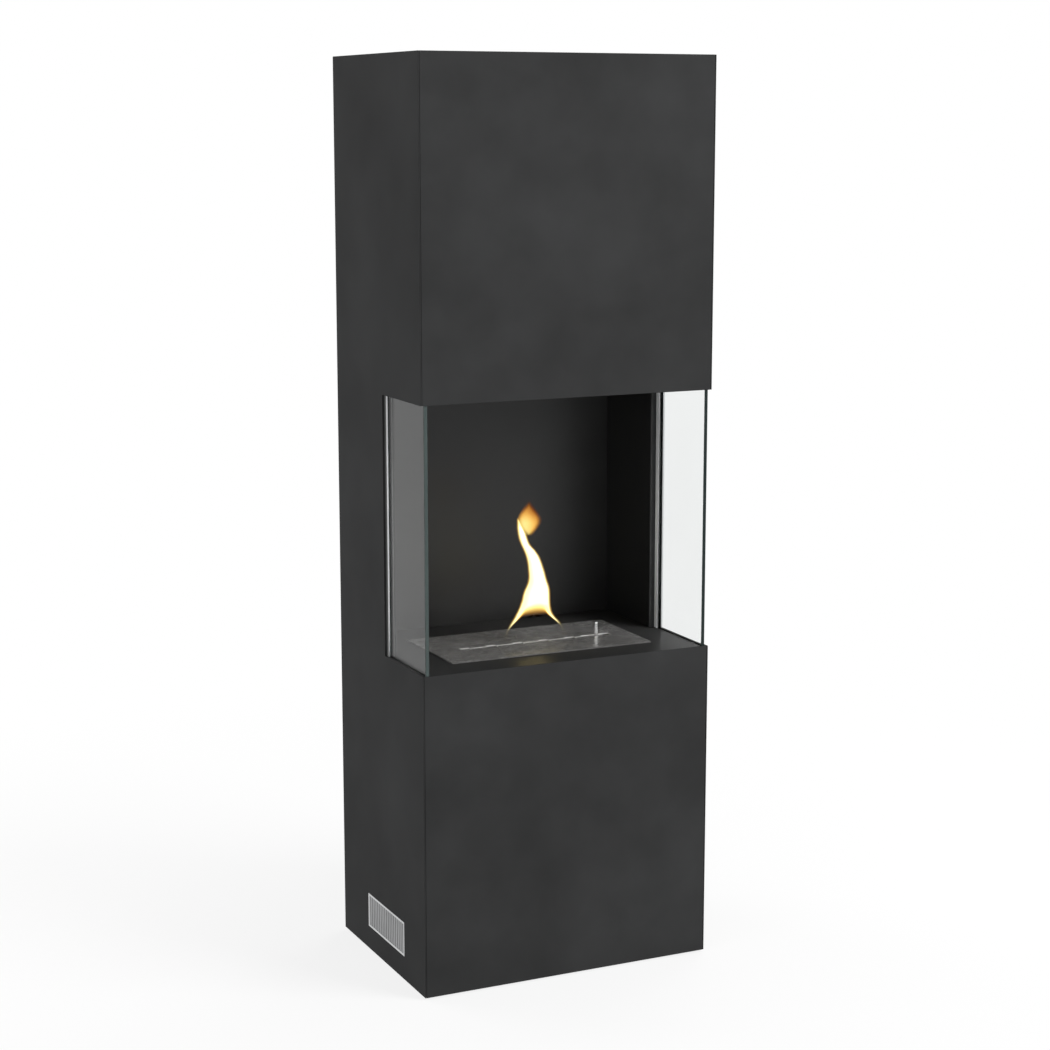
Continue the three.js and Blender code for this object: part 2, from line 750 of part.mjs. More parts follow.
function levellingFoot() {

	const edge = footPadHeight / 4;
	const neckZ = footPadHeight + edge / 2;
	return turned( [
		[ 0, 0 ], [ footPadRadius - edge, 0 ], [ footPadRadius, edge ],
		[ footPadRadius, footPadHeight - edge ], [ footPadRadius - edge * 2, footPadHeight ],
		[ footStemRadius + edge, neckZ ], [ footStemRadius, neckZ + edge ],
		[ footStemRadius, footStemTop - edge / 2 ], [ footStemRadius - edge / 2, footStemTop ],
		[ 0, footStemTop ]
	], fineSides );

}

function stemNut() {

	const hexagon = 6;
	const body = upright( nutAcrossCorners / 2, 0, nutHeight, 0, 0, hexagon );
	const bore = upright( stemHoleRadius, - cutOverrun, nutHeight + cutOverrun, 0, 0, fineSides );
	return cut( body, bore );

}

for ( const { name, x, y } of feet ) {

	add( `levelling_foot_${ name }`, levellingFoot(), 'rubber' ).position.set( x, y, 0 );
	add( `foot_nut_${ name }`, stemNut(), 'zinc' ).position.set( x, y, baseTopZ + fitGap );

}

export default fireplace;
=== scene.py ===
import json
import math

import bmesh
import bpy
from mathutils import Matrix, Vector

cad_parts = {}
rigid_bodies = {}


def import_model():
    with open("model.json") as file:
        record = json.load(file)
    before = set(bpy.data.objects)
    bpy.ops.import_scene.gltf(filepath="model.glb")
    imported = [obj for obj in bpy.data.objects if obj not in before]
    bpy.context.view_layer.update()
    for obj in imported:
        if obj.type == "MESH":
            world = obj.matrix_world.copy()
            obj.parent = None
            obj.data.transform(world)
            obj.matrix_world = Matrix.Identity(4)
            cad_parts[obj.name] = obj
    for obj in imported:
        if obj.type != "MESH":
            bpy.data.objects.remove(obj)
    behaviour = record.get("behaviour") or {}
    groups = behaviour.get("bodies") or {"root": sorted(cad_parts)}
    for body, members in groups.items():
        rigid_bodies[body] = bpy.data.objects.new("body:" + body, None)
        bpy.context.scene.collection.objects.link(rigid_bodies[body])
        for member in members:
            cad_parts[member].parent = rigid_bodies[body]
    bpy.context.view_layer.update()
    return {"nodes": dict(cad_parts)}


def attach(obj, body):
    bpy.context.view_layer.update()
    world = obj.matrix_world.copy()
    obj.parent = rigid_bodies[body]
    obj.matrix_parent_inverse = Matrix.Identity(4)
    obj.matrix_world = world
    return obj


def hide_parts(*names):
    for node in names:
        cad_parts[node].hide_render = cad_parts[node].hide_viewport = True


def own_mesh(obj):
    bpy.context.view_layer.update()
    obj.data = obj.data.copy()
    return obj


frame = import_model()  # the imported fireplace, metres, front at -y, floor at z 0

cadNodes = frame["nodes"]
mm = 0.001
print("frame loaded:", len(cadNodes), "nodes")


# Working by hand, in code: picking, placing, editing

def pickNone():
    if bpy.context.mode != "OBJECT":
        bpy.ops.object.mode_set(mode="OBJECT")
    bpy.ops.object.select_all(action="DESELECT")


def pickOnly(piece):
    pickNone()
    bpy.context.view_layer.objects.active = piece
    piece.select_set(True)


def rename(piece, name):
    piece.name = piece.data.name = name
    return piece


def settle(piece):  # its place and size go into the mesh
    pickOnly(piece)
    bpy.ops.object.transform_apply(location=True, rotation=True, scale=True)
    return piece


def smoothSides(piece, sharpest):  # edges that turn by more degrees than this stay sharp
    pickOnly(piece)
    bpy.ops.object.shade_smooth_by_angle(angle=math.radians(sharpest))


def addBlock(name, low, high):  # between two corners, in millimetres
    low, high = Vector(low) * mm, Vector(high) * mm
    pickNone()
    bpy.ops.mesh.primitive_cube_add(size=1, location=(low + high) / 2)
    piece = rename(bpy.context.object, name)
    piece.scale = high - low
    return settle(piece)


def editAll(piece):
    pickOnly(piece)
    bpy.ops.object.mode_set(mode="EDIT")
    bpy.ops.mesh.select_mode(type="VERT")
    bpy.ops.mesh.select_all(action="SELECT")


def editFaces(piece, wanted):  # picks the faces whose middle and normal pass the test
    pickOnly(piece)
    bpy.ops.object.mode_set(mode="EDIT")
    bpy.ops.mesh.select_mode(type="FACE")
    bpy.ops.mesh.select_all(action="DESELECT")
    mesh = bmesh.from_edit_mesh(piece.data)
    for face in mesh.faces:
        face.select_set(wanted(face.calc_center_median(), face.normal))
    bmesh.update_edit_mesh(piece.data)


def useModifier(piece, kind, **settings):
    pickOnly(piece)
    modifier = piece.modifiers.new(kind.lower(), kind)
    for setting, value in settings.items():
        setattr(modifier, setting, value)
    bpy.ops.object.modifier_apply(modifier=modifier.name)


def roundEdges(piece, width, steps=2):  # width in millimetres
    useModifier(piece, "BEVEL", width=width * mm, segments=steps, limit_method="ANGLE",
                angle_limit=math.radians(40), use_clamp_overlap=False)
    smoothSides(piece, 50)
    useModifier(piece, "WEIGHTED_NORMAL", keep_sharp=True)
    return piece


def roundedCopy(nodeName, width, steps):  # a CAD node's shape with its edges rounded
    pieceName = nodeName + "_rounded"
    piece = bpy.data.objects.new(pieceName, cadNodes[nodeName].data.copy())
    bpy.context.scene.collection.objects.link(piece)
    editAll(piece)
    bpy.ops.mesh.customdata_custom_splitnormals_clear()
    bpy.ops.mesh.remove_doubles(threshold=0.01 * mm)
    bpy.ops.mesh.dissolve_limited(angle_limit=math.radians(1))
    pickNone()
    return roundEdges(rename(piece, pieceName), width, steps)


def copyPiece(piece, name, shift):  # with a mesh of its own; shift in millimetres
    pickOnly(piece)
    bpy.ops.object.duplicate()
    twin = rename(bpy.context.object, name)
    twin.location = Vector(shift) * mm
    return settle(twin)


def joinPieces(name, first, *others):
    pickOnly(first)
    for other in others:
        other.select_set(True)
    bpy.ops.object.join()
    return rename(first, name)


def carve(piece, *cutters):
    for cutter in cutters:
        useModifier(piece, "BOOLEAN", operation="DIFFERENCE", object=cutter, solver="EXACT")
        bpy.data.objects.remove(cutter)


def turn(name, profile, centre, axis="z", steps=40):
    # profile is a list of (radius, height), turned round the axis through the centre
    x, y, z = centre
    points = [Vector((x + radius, y, z + height) if axis == "z" else (x + radius, y + height, z))
              * mm for radius, height in profile]
    pickNone()
    bpy.ops.mesh.primitive_plane_add(size=1 * mm, location=points[0])
    piece = rename(bpy.context.object, name)
    settle(piece)
    editAll(piece)
    bpy.ops.mesh.merge(type="CENTER")
    for here, there in zip(points, points[1:]):
        bpy.ops.mesh.extrude_vertices_move(TRANSFORM_OT_translate={"value": there - here})
    bpy.ops.mesh.select_all(action="SELECT")
    bpy.ops.mesh.spin(steps=steps, angle=math.tau, center=Vector(centre) * mm,
                      axis=(0, 0, 1) if axis == "z" else (0, 1, 0))
    bpy.ops.mesh.select_all(action="SELECT")
    bpy.ops.mesh.remove_doubles(threshold=0.005 * mm)
    bpy.ops.mesh.normals_make_consistent(inside=False)
    pickNone()
    return piece


# Materials: patterns on the object's own coordinates, in metres, and the flame's on its attributes

def addNode(tree, kind, **inputs):
    node = tree.nodes.new(kind)
    for socket, value in inputs.items():
        node.inputs[socket].default_value = value
    return node


def addMath(tree, operation, first, second):  # second is a number or another node's output
    node = addNode(tree, "ShaderNodeMath")
    node.operation = operation
    tree.links.new(first, node.inputs[0])
    if isinstance(second, bpy.types.NodeSocket):
        tree.links.new(second, node.inputs[1])
    else:
        node.inputs[1].default_value = second
    return node.outputs[0]


def chooseShader(tree, share, first, second):  # share 0 shows the first, 1 the second
    node = addNode(tree, "ShaderNodeMixShader")
    tree.links.new(share, node.inputs[0])
    tree.links.new(first.outputs[0], node.inputs[1])
    tree.links.new(second.outputs[0], node.inputs[2])
    return node.outputs[0]


def addSpread(tree, value, fromRange, toRange):  # carries a value from one range over to another
    node = addNode(tree, "ShaderNodeMapRange")
    for socket, limit in zip(("From Min", "From Max", "To Min", "To Max"), (*fromRange, *toRange)):
        node.inputs[socket].default_value = limit
    tree.links.new(value, node.inputs["Value"])
    return node.outputs["Result"]


def newMaterial(name, colour, roughness, metallic=0.0, specular=0.5):
    material = bpy.data.materials.new(name)
    material["slot"] = name
    material.use_nodes = True
    shader = material.node_tree.nodes["Principled BSDF"]
    shader.inputs["Base Color"].default_value = (*colour, 1)
    shader.inputs["Roughness"].default_value = roughness
    shader.inputs["Metallic"].default_value = metallic
    shader.inputs["Specular IOR Level"].default_value = specular
    return material


def shaderOf(material):
    return material.node_tree.nodes["Principled BSDF"]


def addPattern(material, size, stretch=(1, 1, 1), detail=3, roughness=0.5, kind="Noise", output=0):
    # size is how far apart its blotches are, in millimetres
    tree = material.node_tree
    where = addNode(tree, "ShaderNodeTexCoord")
    mapping = addNode(tree, "ShaderNodeMapping", Scale=stretch)
    texture = addNode(tree, "ShaderNodeTex" + kind, Scale=1 / (size * mm), Detail=detail,
                      Roughness=roughness)
    tree.links.new(where.outputs["Object"], mapping.inputs["Vector"])
    tree.links.new(mapping.outputs["Vector"], texture.inputs["Vector"])
    return texture.outputs[output]


def mixPatterns(material, first, second, share):
    tree = material.node_tree
    mix = addNode(tree, "ShaderNodeMix", Factor=share)
    tree.links.new(first, mix.inputs["A"])
    tree.links.new(second, mix.inputs["B"])
    return mix.outputs["Result"]


def colourFrom(material, pattern, *stops, socket="Base Color"):  # stops are (place, colour)
    tree = material.node_tree
    ramp = addNode(tree, "ShaderNodeValToRGB")
    elements = ramp.color_ramp.elements
    for extra in stops[2:]:
        elements.new(extra[0])
    for element, (place, colour) in zip(elements, sorted(stops)):
        element.position = place
        element.color = (*colour, 1)
    tree.links.new(pattern, ramp.inputs["Fac"])
    tree.links.new(ramp.outputs["Color"], shaderOf(material).inputs[socket])


def roughnessFrom(material, pattern, low, high):  # most of a noise lies between 0.3 and 0.7
    tree = material.node_tree
    spread = addSpread(tree, pattern, (0.3, 0.7), (low, high))
    tree.links.new(spread, shaderOf(material).inputs["Roughness"])


def reliefFrom(material, pattern, height, strength=1.0):  # height in millimetres
    tree = material.node_tree
    normal = shaderOf(material).inputs["Normal"]
    bump = addNode(tree, "ShaderNodeBump", Distance=height * mm, Strength=strength)
    if normal.is_linked:
        tree.links.new(normal.links[0].from_socket, bump.inputs["Normal"])
    tree.links.new(pattern, bump.inputs["Height"])
    tree.links.new(bump.outputs["Normal"], normal)


def grey(value, tint=0.0):  # tint above 0 is cooler
    return (value * (1 - tint), value, value * (1 + tint))


def makeCasingPaint():
    look = {"dark": 0.027, "middle": 0.034, "pale": 0.042, "cloud": 230, "patch": 75, "grain": 1.1}
    material = newMaterial("casing_paint", grey(look["middle"]), 0.6, specular=0.03)
    clouds = addPattern(material, look["cloud"], detail=3, roughness=0.5)
    patches = addPattern(material, look["patch"], detail=4, roughness=0.5)
    mottle = mixPatterns(material, clouds, patches, 0.35)
    tones = (grey(look["dark"], 0.01), grey(look["middle"], 0.01), grey(look["pale"], 0.015))
    colourFrom(material, mottle, *zip((0.32, 0.5, 0.68), tones))
    roughnessFrom(material, patches, 0.54, 0.68)
    reliefFrom(material, patches, 0.12, 0.35)
    reliefFrom(material, addPattern(material, look["grain"], detail=2), 0.03, 0.5)
    return material


def makeBackPaint():
    material = newMaterial("back_paint", grey(0.026), 0.6, specular=0.3)
    clouds = addPattern(material, 90, detail=4)
    colourFrom(material, clouds, (0.35, grey(0.023)), (0.65, grey(0.030)))
    roughnessFrom(material, clouds, 0.52, 0.66)
    reliefFrom(material, addPattern(material, 1.2, detail=2), 0.03, 0.5)
    return material


def makeChamberPaint():
    material = newMaterial("chamber_paint", grey(0.0098), 0.42, specular=0.42)
    clouds = addPattern(material, 120, detail=5, roughness=0.6)
    colourFrom(material, clouds, (0.3, grey(0.0076)), (0.7, grey(0.0124)))
    roughnessFrom(material, clouds, 0.38, 0.47)
    reliefFrom(material, addPattern(material, 1.0, detail=2), 0.02, 0.4)
    return material


def makeFloorPaint():
    material = newMaterial("floor_paint", grey(0.023), 0.34, specular=0.007)
    clouds = addPattern(material, 60, detail=5, roughness=0.6)
    colourFrom(material, clouds, (0.3, grey(0.02)), (0.7, grey(0.026)))
    roughnessFrom(material, clouds, 0.31, 0.38)
    reliefFrom(material, addPattern(material, 1.4, detail=2), 0.002, 0.3)
    return material


def makeFrameSteel():
    material = newMaterial("frame_steel", grey(0.45, 0.02), 0.42, metallic=0.9)
    spangle = addPattern(material, 7, kind="Voronoi", detail=0, output=1)
    speckle = addPattern(material, 1.5, detail=3)
    colourFrom(material, mixPatterns(material, spangle, speckle, 0.3),
               (0.2, grey(0.34, 0.02)), (0.8, grey(0.58, 0.02)))
    roughnessFrom(material, speckle, 0.36, 0.5)
    reliefFrom(material, speckle, 0.02, 0.3)
    return material


def makeZincSteel():
    material = newMaterial("zinc_steel", grey(0.6, 0.02), 0.3, metallic=1.0)
    haze = addPattern(material, 9, detail=5)
    colourFrom(material, haze, (0.3, grey(0.52, 0.01)), (0.7, grey(0.66, 0.03)))
    roughnessFrom(material, haze, 0.22, 0.38)
    reliefFrom(material, addPattern(material, 0.5, detail=2), 0.01, 0.3)
    return material


def brushed(material, along, dark, pale, low, high, depth):
    # the grain runs along x, y or z; low and high are its roughness, depth is in millimetres
    stretch = [0.015 if axis == along else 1 for axis in "xyz"]
    grain = addPattern(material, 0.35, stretch=stretch, detail=3, roughness=0.7)
    haze = addPattern(material, 35, detail=4)
    colourFrom(material, mixPatterns(material, grain, haze, 0.45), (0.35, dark), (0.65, pale))
    roughnessFrom(material, mixPatterns(material, grain, haze, 0.4), low, high)
    reliefFrom(material, grain, depth, 0.5)
    return material


def makeBurnerSteel(name, tone, metallic):
    material = newMaterial(name, grey(tone, -0.02), 0.26, metallic=metallic)
    material["slot"] = "burner_steel"
    brushed(material, "x", grey(tone * 0.82, -0.02), grey(tone * 1.12, -0.02), 0.2, 0.32, 0.012)
    strokes = addPattern(material, 1.5, stretch=(0.09, 1, 1), detail=3, roughness=0.7)
    reliefFrom(material, strokes, 0.012, 0.6)
    return material


def makePinSteel():
    material = newMaterial("pin_steel", grey(0.78), 0.12, metallic=1.0)
    return brushed(material, "z", grey(0.74), grey(0.82), 0.08, 0.16, 0.002)


def makeAluminium(name, tone, metallic=1.0):
    material = newMaterial(name, grey(tone, 0.01), 0.34, metallic=metallic)
    material["slot"] = "aluminium"
    return brushed(material, "z", grey(tone * 0.9, 0.01), grey(tone * 1.1, 0.01), 0.3, 0.42, 0.008)


def makeFibreWool():
    material = newMaterial("fibre_wool", (0.82, 0.80, 0.76), 0.95, specular=0.1)
    shaderOf(material).inputs["Sheen Weight"].default_value = 0.4
    fibres = addPattern(material, 2.2, stretch=(0.3, 1, 1), detail=6, roughness=0.7)
    colourFrom(material, fibres, (0.3, (0.66, 0.64, 0.60)), (0.65, (0.88, 0.87, 0.84)))
    reliefFrom(material, fibres, 0.5, 0.8)
    return material


def makeGlass(name, tint, ior, roughness, clear):
    # lamps shine through it, so that the chamber isn't left in its shade
    material = newMaterial(name, tint, roughness)
    material["slot"] = "clear_glass"
    tree, shader = material.node_tree, shaderOf(material)
    shader.inputs["Transmission Weight"].default_value = clear
    shader.inputs["IOR"].default_value = ior
    film = addPattern(material, 160, detail=2)
    colourFrom(material, film, (0.3, tint), (0.7, tuple(min(1, c * 1.03) for c in tint)))
    lightPath = addNode(tree, "ShaderNodeLightPath")
    unhindered = addNode(tree, "ShaderNodeBsdfTransparent")
    surface = chooseShader(tree, lightPath.outputs["Is Shadow Ray"], shader, unhindered)
    tree.links.new(surface, tree.nodes["Material Output"].inputs["Surface"])
    return material


def makeRubber():
    material = newMaterial("gasket_rubber", grey(0.012), 0.7, specular=0.35)
    bloom = addPattern(material, 6, detail=4)
    colourFrom(material, bloom, (0.3, grey(0.010)), (0.7, grey(0.017)))
    roughnessFrom(material, bloom, 0.6, 0.8)
    reliefFrom(material, addPattern(material, 0.6), 0.02, 0.4)
    return material


def makeFootPlastic():
    material = newMaterial("foot_plastic", grey(0.02), 0.5, specular=0.45)
    grain = addPattern(material, 0.9, detail=2)
    colourFrom(material, grain, (0.3, grey(0.017)), (0.7, grey(0.024)))
    roughnessFrom(material, grain, 0.42, 0.58)
    reliefFrom(material, grain, 0.04, 0.6)
    return material


heatColours = ((0.0, (0.10, 0.02, 0.004)), (0.25, (0.42, 0.14, 0.025)), (0.5, (0.92, 0.47, 0.09)),
               (0.7, (1.0, 0.79, 0.24)), (0.86, (1.0, 0.93, 0.42)), (1.0, (1.0, 1.0, 0.86)))


def readAttribute(tree, attribute):
    node = addNode(tree, "ShaderNodeAttribute")
    node.attribute_name = attribute
    return node.outputs["Fac"]


def makeFlame(name, strength, cover):  # colour from each point's warmth, thickness from its cover
    material = newMaterial(name, (0, 0, 0), 1.0, specular=0.0)
    del material["slot"]  # a glow isn't a finish
    tree, shader = material.node_tree, shaderOf(material)
    colourFrom(material, readAttribute(tree, "warmth"), *heatColours, socket="Emission Color")
    shader.inputs["Emission Strength"].default_value = strength
    thickness = addMath(tree, "MULTIPLY", readAttribute(tree, "cover"), cover)
    tree.links.new(thickness, shader.inputs["Alpha"])
    return material


casingPaint = makeCasingPaint()
backPaint = makeBackPaint()
chamberPaint = makeChamberPaint()
floorPaint = makeFloorPaint()
frameSteel = makeFrameSteel()
zincSteel = makeZincSteel()
burnerSteel = makeBurnerSteel("burner_steel", 0.38, 0.7)
# the window walls' copy of the burner steel is paler and less metallic: a painted highlight
windowHighlightSteel = makeBurnerSteel("burner_steel_painted_highlight", 0.75, 0.2)
# the rim's copy of the burner steel is darker: painted shade on the plate's sides
rimShadeSteel = makeBurnerSteel("burner_steel_rim_painted_shade", 0.24, 0.5)
pinSteel = makePinSteel()
aluminium = makeAluminium("aluminium", 0.6)
# a paler, hardly metallic copy of the aluminium: painted highlight on the jambs' inner faces
aluminiumHighlight = makeAluminium("aluminium_painted_highlight", 0.82, metallic=0.1)
# a darker copy of the aluminium for the slats: painted shade over the grille's field
slatShadeAluminium = makeAluminium("aluminium_slats_painted_shade", 0.36)
fibreWool = makeFibreWool()
clearGlass = makeGlass("clear_glass_face", (0.895, 0.91, 0.905), ior=1.18, roughness=0.0, clear=1.0)
glassEdges = {  # the right pane's ground edges are a darker copy of the left's: painted shade
    "left": makeGlass("clear_glass_edge", (0.1, 0.135, 0.13), ior=1.28, roughness=0.2, clear=0.5),
    "right": makeGlass("clear_glass_edge_shaded", (0.02, 0.03, 0.029), ior=1.2, roughness=0.3,
                       clear=0.3)}
rubber = makeRubber()
footPlastic = makeFootPlastic()
print("materials made")


def coat(piece, material):  # one finish all over
    piece.data.materials.clear()
    piece.data.materials.append(material)


def dress(piece, material, body, *standsFor):
    coat(piece, material)
    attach(piece, body)
    if standsFor:
        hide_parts(*standsFor)
    return piece


def finishFaces(piece, material, wanted):  # a second finish on some faces
    piece.data.materials.append(material)
    editFaces(piece, wanted)
    piece.active_material_index = len(piece.data.materials) - 1
    bpy.ops.object.material_slot_assign()
    pickNone()


# Sheet metal and profiles: the shape is the CAD's, with its cut edges rounded

sideSigns = {"left": -1, "right": 1}

sheetWork = {  # edge rounding in millimetres, steps, material, nodes
    "casing": (0.7, 3, casingPaint, ["side_panel_left", "side_panel_right", "front_panel_lower",
                                     "front_panel_upper", "top_panel"]),
    "back": (0.35, 2, backPaint, ["back_panel"]),
    "chamber": (0.35, 2, chamberPaint, ["chamber_ceiling", "chamber_back_wall",
                                        "chamber_wall_left", "chamber_wall_right",
                                        "glass_head_left", "glass_head_right"]),
    "floor": (0.4, 2, floorPaint, ["chamber_floor", "glass_sill_left", "glass_sill_right"]),
    "bracket": (0.4, 2, zincSteel, ["wall_bracket"]),
}
for width, steps, material, names in sheetWork.values():
    for nodeName in names:
        dress(roundedCopy(nodeName, width, steps), material, "cabinet", nodeName)

jambShape = {"bevel": 0.35, "outerFrom": 234.7, "innerTo": 226.3}  # its faces past these are bare aluminium, the inner ones a paler, matt copy of it: painted highlight


def makeJamb(side):
    jamb = roundedCopy(f"glass_jamb_{side}", jambShape["bevel"], 2)
    dress(jamb, chamberPaint, "cabinet", f"glass_jamb_{side}")

    def outerFront(middle, normal):
        return abs(middle.x) > jambShape["outerFrom"] * mm and normal.y < -0.3

    def innerFace(middle, normal):
        return abs(middle.x) < jambShape["innerTo"] * mm and abs(normal.x) > 0.3

    finishFaces(jamb, aluminium, outerFront)
    # the inner face gets the paler copy: painted highlight
    finishFaces(jamb, aluminiumHighlight, innerFace)


for side in sideSigns:
    makeJamb(side)

plateShape = {"bevel": 0.12, "halfX": 168.2, "front": -113.7, "rear": 56.2,
              "foot": 500.4, "top": 502.2}  # just inside the plate's faces


def makeBurnerPlate():
    plate = roundedCopy("burner_top_plate", plateShape["bevel"], 2)
    dress(plate, burnerSteel, "burner", "burner_top_plate")

    def onRim(middle):
        return (abs(middle.x) > plateShape["halfX"] * mm or middle.y < plateShape["front"] * mm
                or middle.y > plateShape["rear"] * mm)

    def inOpening(middle, normal):
        return plateShape["foot"] < middle.z / mm < plateShape["top"] and not onRim(middle)

    # the walls of the windows get the paler copy: painted highlight
    finishFaces(plate, windowHighlightSteel, inOpening)
    # the plate's sides get the darker copy: painted shade
    finishFaces(plate, rimShadeSteel, lambda middle, normal: onRim(middle) and normal.z < 0.6)


makeBurnerPlate()
dress(roundedCopy("shutter_plate", 0.2, 2), burnerSteel, "shutter", "shutter_plate")
print("sheet metal rounded")

hiddenNodes = {  # CAD nodes that stay, each with its finish
    frameSteel: ["base_panel", "rear_post_left", "rear_post_right", "front_post_lower_left",
                 "front_post_lower_right", "front_post_upper_left", "front_post_upper_right",
                 "floor_rail_front", "floor_rail_rear", "ceiling_rail_front", "ceiling_rail_rear",
                 "burner_well"],
    zincSteel: ["heat_shield", "foot_nut_front_left", "foot_nut_front_right",
                "foot_nut_rear_left", "foot_nut_rear_right"],
    burnerSteel: ["burner_casing", "fuel_box", "shutter_guide_front", "shutter_guide_rear"],
}
for material, names in hiddenNodes.items():
    for nodeName in names:
        coat(cadNodes[nodeName], material)


# Glass: toughened panes with ground edges, on rubber strips; both shapes are the right side's

paneShape = {"low": (228.7, -167.5, 496), "high": (234.7, -23.3, 905), "bevel": 0.7}


def makePane(side, sign):
    low, high = Vector(paneShape["low"]), Vector(paneShape["high"])
    if sign < 0:
        low.x, high.x = -high.x, -low.x
    pane = addBlock(f"glass_{side}", low, high)
    roundEdges(pane, paneShape["bevel"], 2)
    dress(pane, clearGlass, f"pane_{side}", f"glass_pane_{side}")
    finishFaces(pane, glassEdges[side], lambda middle, normal: abs(normal.x) < 0.9)


gasketShape = {"half": 3.2, "middle": 231.7, "front": -167.5, "rear": -23.3, "foot": 493.7,
               "top": 495.7, "lip": 1.1, "bed": 0.5, "bevel": 0.25}


def makeGasket(side, sign):
    half, front, rear = gasketShape["half"], gasketShape["front"], gasketShape["rear"]
    middle = sign * gasketShape["middle"]
    strip = addBlock(f"gasket_{side}", (middle - half, front, gasketShape["foot"]),
                     (middle + half, rear, gasketShape["top"]))

    def bed(centre, normal):
        return (normal.z > 0.9 and abs(centre.x - middle * mm) < 0.1 * mm
                and abs(centre.y - (front + rear) / 2 * mm) < 1 * mm)

    editFaces(strip, lambda centre, normal: abs(normal.z) > 0.9)
    bpy.ops.mesh.inset(thickness=gasketShape["lip"] * mm)
    editFaces(strip, bed)  # the glass lies in it
    down = (0, 0, -gasketShape["bed"] * mm)
    bpy.ops.mesh.extrude_region_move(TRANSFORM_OT_translate={"value": down})
    roundEdges(strip, gasketShape["bevel"], 2)
    dress(strip, rubber, "cabinet", f"glass_gasket_{side}")


for side, sign in sideSigns.items():
    makePane(side, sign)
    makeGasket(side, sign)
print("glass made")


# Vent grille: a rim with rounded edges and upright slats with rounded fronts

grille = {"low": (-240, -86, 40), "high": (-232, 64, 95), "rim": 3.5, "rimBevel": 0.9,
          "pitch": 7.5, "slat": 4.2, "slatBevel": 1.3, "inset": 0.5, "margin": 1,
          "flangeFace": -237.7, "flangeThick": 1.5, "flange": 5, "flangeBevel": 0.3}


def openPlate(name, low, high, rim):  # a plate along x with a window inside its rim
    plate = addBlock(name, low, high)
    editFaces(plate, lambda middle, normal: abs(normal.x) > 0.9)
    bpy.ops.mesh.inset(thickness=rim * mm)
    bpy.ops.mesh.bridge_edge_loops()
    pickNone()
    return plate


def makeGrille():
    face, front, foot = grille["low"]
    rear, back, top = grille["high"]
    rimWidth, pitch, slatWidth = grille["rim"], grille["pitch"], grille["slat"]
    flangeFace, flangeWidth = grille["flangeFace"], grille["flange"]
    inset, margin = grille["inset"], grille["margin"]
    rim = openPlate("vent_grille_rim", grille["low"], grille["high"], rimWidth)
    roundEdges(rim, grille["rimBevel"], 3)
    flangeLow = (flangeFace, front - flangeWidth, foot - flangeWidth)
    flangeHigh = (flangeFace + grille["flangeThick"], back + flangeWidth, top + flangeWidth)
    flange = openPlate("vent_grille_flange", flangeLow, flangeHigh, flangeWidth + margin)
    roundEdges(flange, grille["flangeBevel"], 2)

    def makeSlat(name, start, end):  # its ends run into the rim
        slat = addBlock(name, (face + inset, start, foot + rimWidth - inset),
                        (rear, end, top - rimWidth + inset))
        return roundEdges(slat, grille["slatBevel"], 3)

    slotCount = int((back - front - rimWidth * 2 + slatWidth) // pitch)
    gap = pitch - slatWidth
    firstSlot = (front + back - (slotCount - 1) * pitch - gap) / 2
    lastSlot = firstSlot + (slotCount - 1) * pitch + gap
    slats = [makeSlat("slat_0", firstSlot + gap, firstSlot + pitch)]
    slats += [copyPiece(slats[0], f"slat_{i}", (0, i * pitch, 0)) for i in range(1, slotCount - 1)]
    slats += [makeSlat("slat_front", front + margin, firstSlot),
              makeSlat("slat_rear", lastSlot, back - margin)]  # half slats, partly in the rim
    for slat in slats:
        # the slats get the darker copy of the aluminium: painted shade
        coat(slat, slatShadeAluminium)
    coat(rim, aluminium)
    coat(flange, aluminium)
    whole = joinPieces("vent_grille_slatted", rim, flange, *slats)
    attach(whole, "cabinet")
    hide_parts("vent_grille")


makeGrille()
print("grille made")


# Burner: the pin that slides the shutter, and the fibre pad in the fuel box

rowY = -39  # the row of windows, the pin and the flame

pinShape = {"x": 111, "profile": [(0, 498.3), (2, 498.3), (2, 500.1), (3.7, 500.1), (4, 500.25),
                                  (4, 500.55), (3.7, 500.7), (3, 500.7), (3, 518.6), (2.75, 518.9),
                                  (2.75, 519.6), (3, 519.9), (3, 523.1), (2.85, 523.7),
                                  (2.4, 524.15), (1.7, 524.3), (0, 524.3)]}
pin = turn("shutter_pin_turned", pinShape["profile"], (pinShape["x"], rowY, 0))
smoothSides(pin, 30)
dress(pin, pinSteel, "shutter", "shutter_pin")

padShape = {"low": (-141, -86.5, 439.8), "high": (141, 29, 472.6), "bevel": 5, "cuts": 14,
            "lumps": (18, 1.6), "tufts": (4, 0.7)}  # how far apart and how high


def makeFibrePad():
    pad = addBlock("fibre_pad", padShape["low"], padShape["high"])
    roundEdges(pad, padShape["bevel"], 3)
    editAll(pad)
    bpy.ops.mesh.subdivide(number_cuts=padShape["cuts"])
    pickNone()
    for name in ("lumps", "tufts"):
        size, height = padShape[name]
        texture = bpy.data.textures.new(name, "CLOUDS")
        texture.noise_scale = size * mm
        useModifier(pad, "DISPLACE", texture=texture, strength=height * mm, mid_level=0.6)
    pickOnly(pad)
    bpy.ops.object.shade_smooth()
    dress(pad, fibreWool, "burner", "fuel_wool")


makeFibrePad()
print("burner made")


# Screws at the back: pan heads with a cross recess, modelled once and copied

